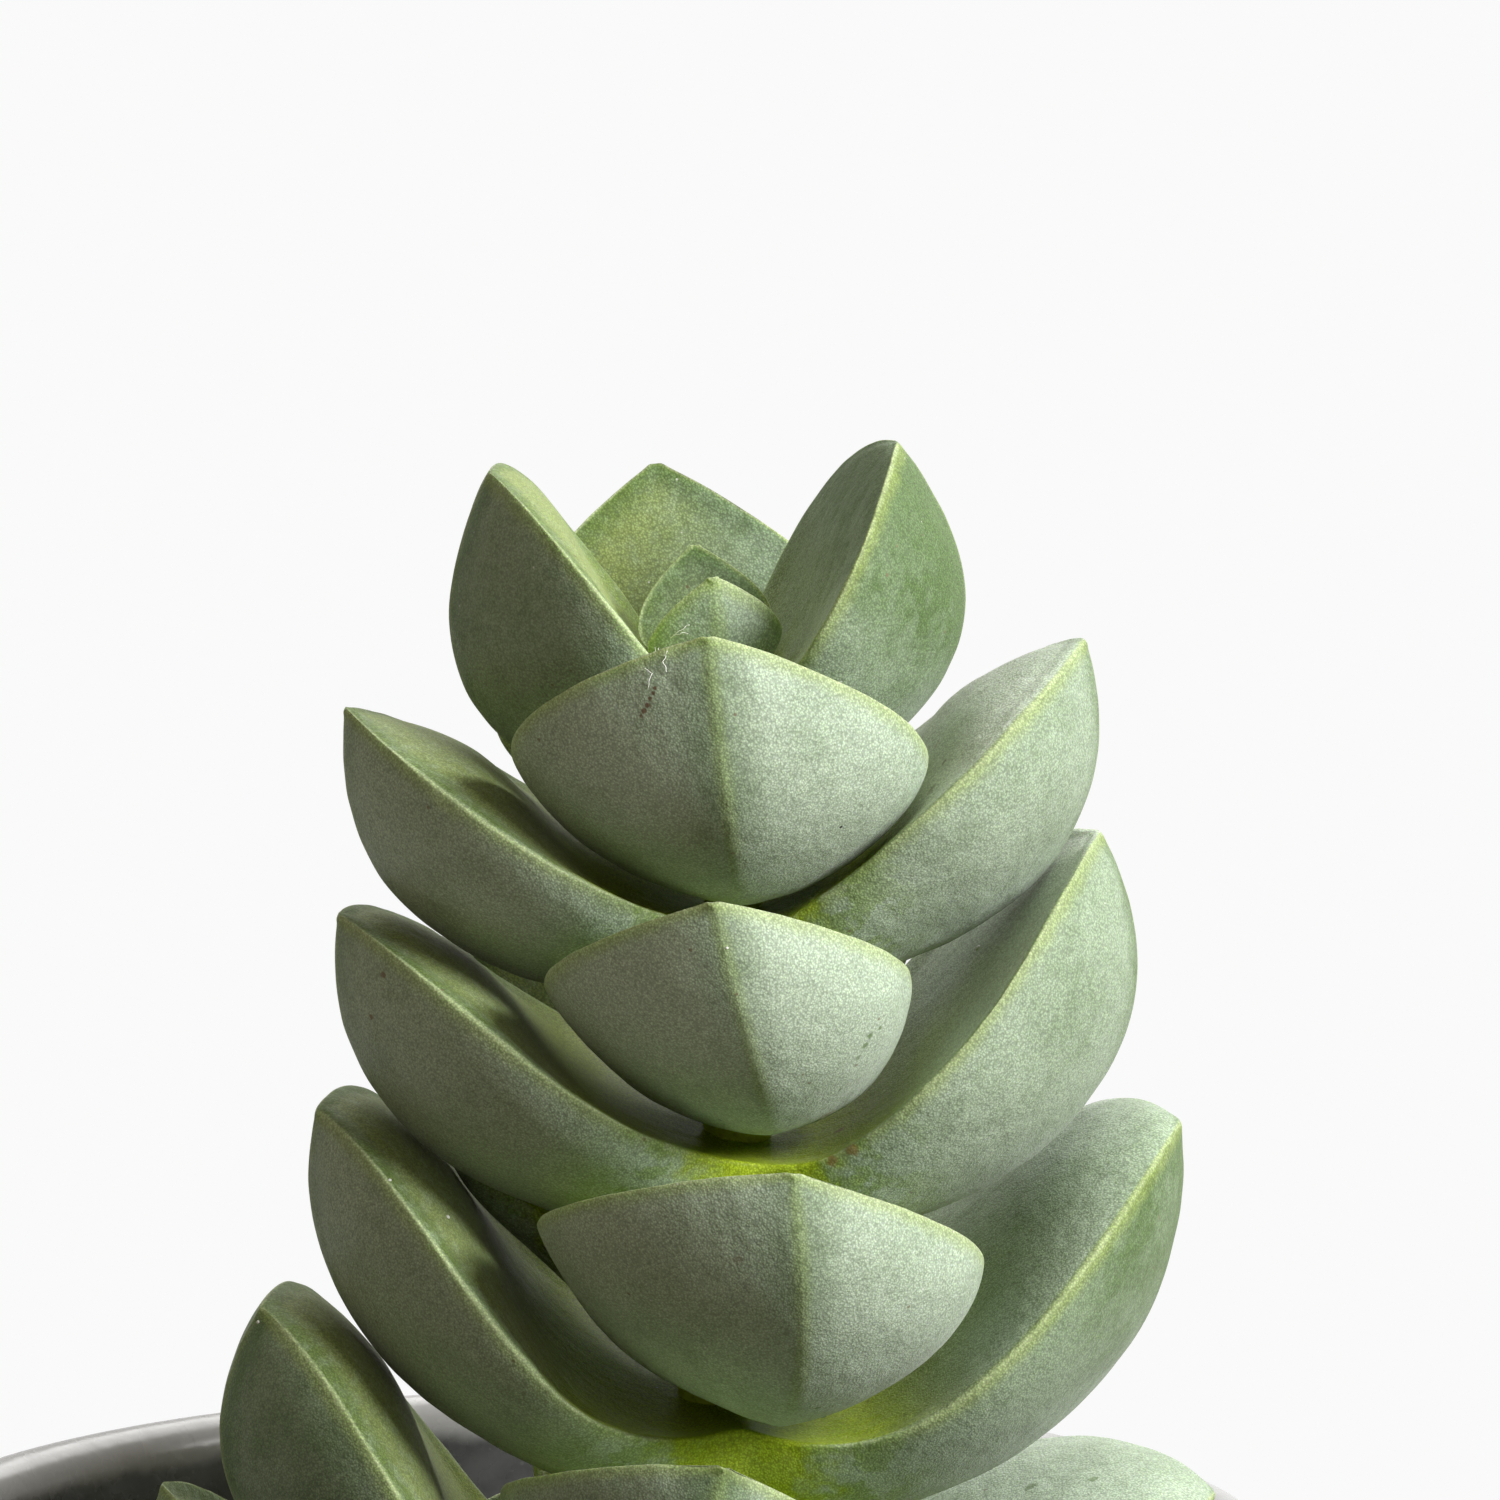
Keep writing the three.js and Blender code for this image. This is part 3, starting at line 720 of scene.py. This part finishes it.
def leaf_look(trees):
    """Leaf skin: pale grains in a grey-green bloom, greener where it is thin or rubbed, and blemishes.
    Painted light and shade as well: paler upper faces on the right-hand leaves for light from above, paler
    skin towards the leaf bases for light reflected up onto them, dark green upper faces on the left-hand
    leaves for the shadow they stand in, and a partly painted glow in the yellow-green bases.
    """
    look = Look("leaf_skin")
    from_keel, from_edge, out, face, bare = (look.mark(name) for name in MARKS)
    grain = look.cells(7.0)
    fine = look.noise(4.5, 3.0, 0.65)
    patches = look.noise(0.2, 4.0, 0.6)
    streaks = look.noise(1.1, 3.0, 0.6)
    wobble = look.math("SUBTRACT", look.noise(0.8, 3.0), 0.5)
    sideways, _, height = look.add("ShaderNodeSeparateXYZ", {0: look.place}).outputs
    upper = look.ramp(face, 0.5, 0.9)
    young = look.ramp(height, *YOUNG_SPAN)
    mature = look.math("SUBTRACT", 1.0, young)
    # painted shade mask: the left-hand side of the plant, by X
    shaded_side = look.ramp(sideways, *SHADED_SIDE_SPAN)
    grown = look.ramp(out, 0.3, 0.6)

    def times(*factors):
        product = factors[0]
        for factor in factors[1:]:
            product = look.math("MULTIPLY", product, factor)
        return product

    def wavering(value, by):
        return look.math("ADD", value, times(wobble, by))

    worn = look.ramp(look.math("ADD", times(patches, 0.6), times(streaks, 0.4)), 0.4, 0.66, 0.0, 0.26)
    keel_side = times(look.ramp(wavering(from_keel, 1.5), 3.6, 0.3), look.ramp(out, 0.45, 0.8), 0.42)
    bared = times(bare, look.ramp(times(upper, mature), 0.0, 1.0, 0.72, 0.2))
    thin = look.math("ADD", look.math("ADD", worn, bared), keel_side)
    color = look.mix(look.math("MINIMUM", thin, 1.0), BLOOM, FLESH)

    # painted light: the upper faces of the older right-hand leaves are painted pale for the light from above
    # that falls on them
    pale = times(upper, look.math("SUBTRACT", 1.0, shaded_side), mature, look.ramp(height, *LIT_FACE_SPAN))
    color = look.mix(times(pale, 0.75), color, LIT_FACE)
    # painted shade: the upper faces of the left-hand leaves are painted dark green for the shadow that the
    # leaves above and in front cast on them
    green = look.mix(look.ramp(wavering(from_edge, 1.6), 0.8, 3.4), SHADED_FACE_GREEN, SHADED_FACE_INNER)
    color = look.mix(times(upper, shaded_side, look.ramp(streaks, 0.2, 0.6, 0.6, 0.95)), color, green)
    under = times(look.ramp(wavering(from_edge, 0.7), 1.3, 0.2), look.math("SUBTRACT", 1.0, upper), 0.5)
    color = look.mix(under, color, RIM_BAND)
    keel_line = times(look.ramp(wavering(from_keel, 0.5), 0.8, 0.1, 0.0, 0.45), grown)
    color = look.mix(keel_line, color, KEEL_LINE)
    edge_line = look.ramp(wavering(from_edge, 0.2), 0.38, 0.06)
    color = look.mix(times(edge_line, look.ramp(streaks, 0.35, 0.6, 0.2, 0.6)), color, RIM_LINE)

    rubbed = times(look.ramp(out, 0.36, 0.2), look.ramp(look.noise(0.45, 4.0, 0.65), 0.46, 0.56))
    color = look.mix(times(rubbed, 0.6), color, RUBBED)
    # the yellow-green leaf bases: partly their own bare colour, partly a painted glow of light shining
    # through the flesh
    face_low = times(upper, look.ramp(out, 0.5, 0.22))
    low = look.math("ADD", look.ramp(wavering(out, 0.2), 0.2, 0.08), face_low)
    base_and_glow = times(look.math("MINIMUM", low, 1.0), look.ramp(young, 0.0, 1.0, 1.0, 0.15))
    color = look.mix(times(base_and_glow, 0.92), color, BASE)

    for level in (look.ramp(grain, 0.15, 0.7, 1.2, 0.74), look.ramp(fine, 0.3, 0.7, 0.84, 1.16)):
        tone = look.add("ShaderNodeCombineColor", {0: level, 1: level, 2: level}).outputs[0]
        color = look.mix(1.0, color, tone, "MULTIPLY")
    color = look.mix(look.ramp(look.cells(0.35), 0.05, 0.03, 0.0, 0.7), color, FRECKLE)
    color = look.mix(look.ramp(look.cells(0.43), 0.034, 0.022, 0.0, 0.8), color, MOTE)

    ragged = times(look.math("SUBTRACT", look.noise(3.0, 3.0), 0.5), 1.2)
    for px, py, radius, tint, strength in BLEMISHES:
        seen = seen_at(px, py, trees)
        if seen is None:
            continue
        ends = {0: look.place, 1: tuple(seen[0] / MM)}
        away = look.add("ShaderNodeVectorMath", ends, operation="DISTANCE").outputs["Value"]
        reach = look.math("ADD", away, times(ragged, radius))
        color = look.mix(look.ramp(reach, radius, radius * 0.5, 0.0, strength), color, tint)

    normal = look.bump(look.math("ADD", times(grain, -0.6), times(fine, 0.4)), 0.035)
    normal = look.bump(look.noise(0.8, 3.0), 0.12, normal)
    rough = look.ramp(base_and_glow, 0.0, 1.0, 0.62, 0.42)
    shine = look.ramp(look.math("MAXIMUM", upper, base_and_glow), 0.0, 1.0, 0.25, 0.1)
    velvet = look.ramp(base_and_glow, 0.0, 1.0, 0.15, 0.0)
    return look.set(Base_Color=color, Roughness=rough, Normal=normal, Specular_IOR_Level=shine,
                    Sheen_Weight=velvet, Sheen_Roughness=0.45, Subsurface_Weight=0.15,
                    Subsurface_Radius=(0.6, 1.0, 0.25), Subsurface_Scale=0.0015)


def glaze_look():
    """Charcoal glaze: dark, satin and faintly mottled, with tiny paler specks, and a lip painted pale as a
    painted highlight where the rounded rim catches the light.
    """
    look = Look("charcoal_glaze")
    mottled = look.ramp(look.noise(0.35, 4.0, 0.6), 0.35, 0.65)
    color = look.mix(mottled, (0.07, 0.071, 0.073), (0.1, 0.101, 0.103))
    specks = look.ramp(look.cells(1.1), 0.16, 0.1, 0.0, 0.5)
    color = look.mix(specks, color, (0.16, 0.16, 0.155))
    # painted highlight: the lip is painted pale grey for the light that the rounded rim catches
    height = look.add("ShaderNodeSeparateXYZ", {0: look.place}).outputs["Z"]
    wavy_height = look.math("ADD", height, look.noise(0.4, 3.0))
    lip = look.ramp(wavy_height, POT_HEIGHT - WALL / 2, POT_HEIGHT - WALL / 4)
    color = look.mix(lip, color, (0.36, 0.36, 0.36))
    rough = look.ramp(look.noise(0.6, 3.0), 0.3, 0.7, 0.22, 0.32)
    normal = look.bump(look.noise(0.5, 3.0), 0.05)
    return look.set(Base_Color=color, Roughness=rough, Normal=normal)


def soil_look():
    look = Look("soil_crumbs")
    damp = look.ramp(look.noise(0.25, 4.0, 0.6), 0.35, 0.65)
    color = look.mix(damp, (0.035, 0.022, 0.014), (0.09, 0.058, 0.036))
    color = look.mix(look.ramp(look.noise(2.2, 4.0, 0.7), 0.5, 0.72, 0.0, 0.7), color, (0.16, 0.11, 0.07))
    normal = look.bump(look.noise(1.6, 5.0, 0.7), 0.5)
    return look.set(Base_Color=color, Roughness=0.95, Normal=normal, Specular_IOR_Level=0.2)


def stone_look(name, base):
    look = Look(name)
    color = look.mix(look.noise(1.3, 4.0, 0.6), shade(base, 0.6), shade(base, 1.35))
    normal = look.bump(look.noise(3.0, 4.0, 0.7), 0.2)
    return look.set(Base_Color=color, Roughness=0.9, Normal=normal, Specular_IOR_Level=0.3)


def stem_look():
    """The stem: yellow-green among the leaves, made bright there as painted light where it stands in the
    leaves' shade, and brown and corky towards the soil.
    """
    look = Look("stem_skin")
    height = look.add("ShaderNodeSeparateXYZ", {0: look.place}).outputs["Z"]
    streaks = look.ramp(look.noise(0.9, 4.0, 0.6), 0.5, 0.7, 0.0, 0.4)
    corky = look.math("ADD", look.ramp(height, *CORKY_SPAN), streaks)
    # painted light: the yellow-green among the leaves is brighter than the stem's own colour, a painted glow
    # where the stem sits in shade
    color = look.mix(look.math("MINIMUM", corky, 1.0), (0.46, 0.56, 0.05), (0.16, 0.11, 0.045))
    normal = look.bump(look.noise(1.8, 4.0), 0.15)
    return look.set(Base_Color=color, Roughness=0.75, Normal=normal, Specular_IOR_Level=0.3)


def camera():
    data = bpy.data.cameras.new("camera")
    data.sensor_width = SENSOR
    data.lens = SENSOR * CAMERA_DISTANCE / FIELD_WIDTH
    data.clip_end = CLIP_END
    obj = bpy.data.objects.new("camera", data)
    bpy.context.scene.collection.objects.link(obj)
    back = Vector((0, -math.cos(CAMERA_ELEVATION), math.sin(CAMERA_ELEVATION)))
    obj.location = CAMERA_TARGET + back * CAMERA_DISTANCE
    obj.rotation_euler = back.to_track_quat("Z", "Y").to_euler()
    bpy.context.scene.camera = obj
    return obj


# The studio. Each light has a compass turn from -Y towards +X and an elevation in degrees, a width in
# metres and a power in watts. Surfaces out of sight of the lights see a dim warm room.
LIGHT_DISTANCE = 1.2
LIGHTS = [
    ("key", 60, 31, 0.6, 27),
    ("back", 165, 45, 1.0, 10),
]
WHITE = 0.955
ROOM_BELOW, ROOM_ABOVE = (0.13, 0.092, 0.05), (0.29, 0.245, 0.178)
ROOM_SPAN = (-0.4, 0.4)
FLOOR_SIZE, FLOOR_DROP = 6, 0.0002
FLOOR_SOLID, FLOOR_GONE = 95, 160


def lights():
    for name, turn, elevation, width, power in LIGHTS:
        data = bpy.data.lights.new(name, "AREA")
        data.shape = "DISK"
        data.size = width
        data.energy = power
        obj = bpy.data.objects.new(name, data)
        bpy.context.scene.collection.objects.link(obj)
        flat = math.cos(math.radians(elevation))
        angle = math.radians(turn)
        back = Vector((math.sin(angle) * flat, -math.cos(angle) * flat, math.sin(math.radians(elevation))))
        obj.location = CAMERA_TARGET + back * LIGHT_DISTANCE
        obj.rotation_euler = back.to_track_quat("Z", "Y").to_euler()


def room():
    """A white studio to the camera and in reflections, and a dim warm one to everything else."""
    world = bpy.data.worlds.new("studio")
    world.use_nodes = True
    tree = world.node_tree
    dim = tree.nodes["Background"]
    toward = tree.nodes.new("ShaderNodeTexCoord")
    height = tree.nodes.new("ShaderNodeSeparateXYZ")
    tree.links.new(toward.outputs["Generated"], height.inputs[0])
    ramp = tree.nodes.new("ShaderNodeMapRange")
    ramp.inputs["From Min"].default_value, ramp.inputs["From Max"].default_value = ROOM_SPAN
    tree.links.new(height.outputs["Z"], ramp.inputs["Value"])
    shades = tree.nodes.new("ShaderNodeMix")
    shades.data_type = "RGBA"
    shades.inputs[6].default_value = (*ROOM_BELOW, 1)
    shades.inputs[7].default_value = (*ROOM_ABOVE, 1)
    tree.links.new(ramp.outputs[0], shades.inputs[0])
    tree.links.new(shades.outputs[2], dim.inputs["Color"])
    bright = tree.nodes.new("ShaderNodeBackground")
    bright.inputs["Color"].default_value = (WHITE, WHITE, WHITE, 1)
    path = tree.nodes.new("ShaderNodeLightPath")
    either = tree.nodes.new("ShaderNodeMath")
    either.operation = "MAXIMUM"
    tree.links.new(path.outputs["Is Camera Ray"], either.inputs[0])
    tree.links.new(path.outputs["Is Glossy Ray"], either.inputs[1])
    mix = tree.nodes.new("ShaderNodeMixShader")
    tree.links.new(either.outputs[0], mix.inputs[0])
    tree.links.new(dim.outputs[0], mix.inputs[1])
    tree.links.new(bright.outputs[0], mix.inputs[2])
    tree.links.new(mix.outputs[0], tree.nodes["World Output"].inputs["Surface"])
    bpy.context.scene.world = world


def floor():
    """A pale floor round the pot that fades into the white of the studio."""
    select_none()
    bpy.ops.mesh.primitive_plane_add(size=FLOOR_SIZE, location=(0, 0, -FLOOR_DROP))
    obj = bpy.context.object
    obj.name = "floor"
    look = Look("floor")
    away = look.add("ShaderNodeVectorMath", {0: look.place}, operation="LENGTH").outputs["Value"]
    clear = look.add("ShaderNodeBsdfTransparent")
    mix = look.add("ShaderNodeMixShader")
    look.put(mix.inputs[0], look.ramp(away, FLOOR_SOLID, FLOOR_GONE))
    look.put(mix.inputs[1], look.shader.outputs[0])
    look.put(mix.inputs[2], clear.outputs[0])
    look.tree.links.new(mix.outputs[0], look.tree.nodes["Material Output"].inputs["Surface"])
    look.set(Base_Color=(0.8, 0.8, 0.8), Roughness=0.9, Specular_IOR_Level=0.0)
    obj.data.materials.append(look.material)


# Dust and fibres on the leaves, at pixels of the photograph. Each speck has a radius in mm.
DUST = [(727, 948, 0.1), (448, 1217, 0.17), (390, 1180, 0.12), (978, 948, 0.24), (258, 1322, 0.14)]
DUST_SHAPE = (1, 0.8, 0.5)
LINT = [
    [(655, 646), (660, 655), (661, 665), (659, 676), (655, 687)],
    [(650, 652), (656, 662), (657, 673), (652, 684)],
    [(668, 652), (664, 662), (668, 672)],
    [(645, 668), (652, 674), (648, 688)],
    [(660, 648), (657, 668), (662, 682)],
    [(671, 638), (677, 632), (684, 629), (690, 625)],
    [(674, 635), (683, 632), (689, 633)],
]
LINT_STEPS, LINT_SIDES = 16, 5
LINT_RADIUS, LINT_HOVER, LINT_LEAP = 0.028, 0.12, 1
LINT_CURL, LINT_CURLS_PER_MM = 0.12, 3


def dust(trees):
    """White specks of dust on the leaves, at the pixels where the photograph shows them: low domes."""
    look = Look("dust")
    color = look.mix(look.noise(9.0, 3.0, 0.6), (0.58, 0.6, 0.54), (0.88, 0.9, 0.86))
    look.set(Base_Color=color, Roughness=0.85, Normal=look.bump(look.noise(14.0, 2.0), 0.03))
    specks = []
    for px, py, radius in DUST:
        seen = seen_at(px, py, trees)
        if seen is None:
            continue
        point, normal = seen
        select_none()
        turn = normal.to_track_quat("Z", "Y").to_euler()
        bpy.ops.mesh.primitive_ico_sphere_add(
            subdivisions=2, radius=radius * MM, location=point, rotation=turn, scale=DUST_SHAPE)
        specks.append(bpy.context.object)
    select_none()
    for speck in specks:
        speck.select_set(True)
        speck.data.shade_smooth()
    bpy.context.view_layer.objects.active = specks[0]
    bpy.ops.object.transform_apply(location=True, rotation=True, scale=True)
    bpy.ops.object.join()
    finish_piece(bpy.context.object, "dust", look.material)


def lint(trees):
    """Fine pale fibres caught on the front leaf, each laid through the pixels where the photograph shows it.

    A fibre that runs past the leaf's edge goes on through the air at the depth where it leaves the leaf.
    """
    look = Look("lint")
    color = look.mix(look.noise(5.0, 2.0), (0.62, 0.62, 0.55), (0.9, 0.92, 0.9))
    look.set(Base_Color=color, Roughness=look.ramp(look.noise(11.0), 0.35, 0.65, 0.55, 0.8))
    fibres = []
    for pixels in LINT:
        points = []
        for px, py in pixels:
            start, direction = photo_ray(px, py)
            seen = seen_at(px, py, trees)
            place = start + direction * ((points[-1] * MM - start).length if points else 0)
            if seen is not None and (not points or (seen[0] - place).length < LINT_LEAP * MM):
                place = seen[0] + seen[1] * LINT_HOVER * MM
            points.append(place / MM)
        rings = []
        for i in range(LINT_STEPS + 1):
            share = i / LINT_STEPS * (len(points) - 1)
            index = min(int(share), len(points) - 2)
            along = (points[index + 1] - points[index]).normalized()
            middle = points[index].lerp(points[index + 1], share - index)
            middle += noise.noise_vector(middle * LINT_CURLS_PER_MM) * LINT_CURL
            side = along.orthogonal().normalized()
            other = along.cross(side)
            ring = []
            for j in range(LINT_SIDES):
                angle = TURN * j / LINT_SIDES
                ring.append(middle + (side * math.cos(angle) + other * math.sin(angle)) * LINT_RADIUS)
            rings.append(ring)
        fibres.append(extruded(rings)[0])
    select_none()
    for fibre in fibres:
        fibre.select_set(True)
        fibre.data.shade_smooth()
    bpy.context.view_layer.objects.active = fibres[0]
    bpy.ops.object.join()
    finish_piece(bpy.context.object, "lint", look.material)


SEED = 7
DICE = random.Random(SEED)
noise.seed_set(SEED)  # noise_vector, and so the curl of the fibres, would else follow the clock
CAMERA = camera()
bpy.context.view_layer.update()
leaves = [leaf_pair(pair, bare) for pair, bare in zip(PAIRS, BARE)]
skins = []
for leaf in leaves:
    bm = bmesh.new()
    bm.from_mesh(leaf.data)
    skins.append(BVHTree.FromBMesh(bm))
    bm.free()
leaf_finish = leaf_look(skins)
for number, leaf in enumerate(leaves, 1):
    finish_piece(leaf, f"leaves_{number:02d}", leaf_finish, (f"leaf_pair_{number:02d}",))
pot()
soil()
stem()
grit(GRIT_COLORS)
dust(skins)
lint(skins)
lights()
room()
floor()
bpy.context.scene.view_settings.view_transform = "Standard"
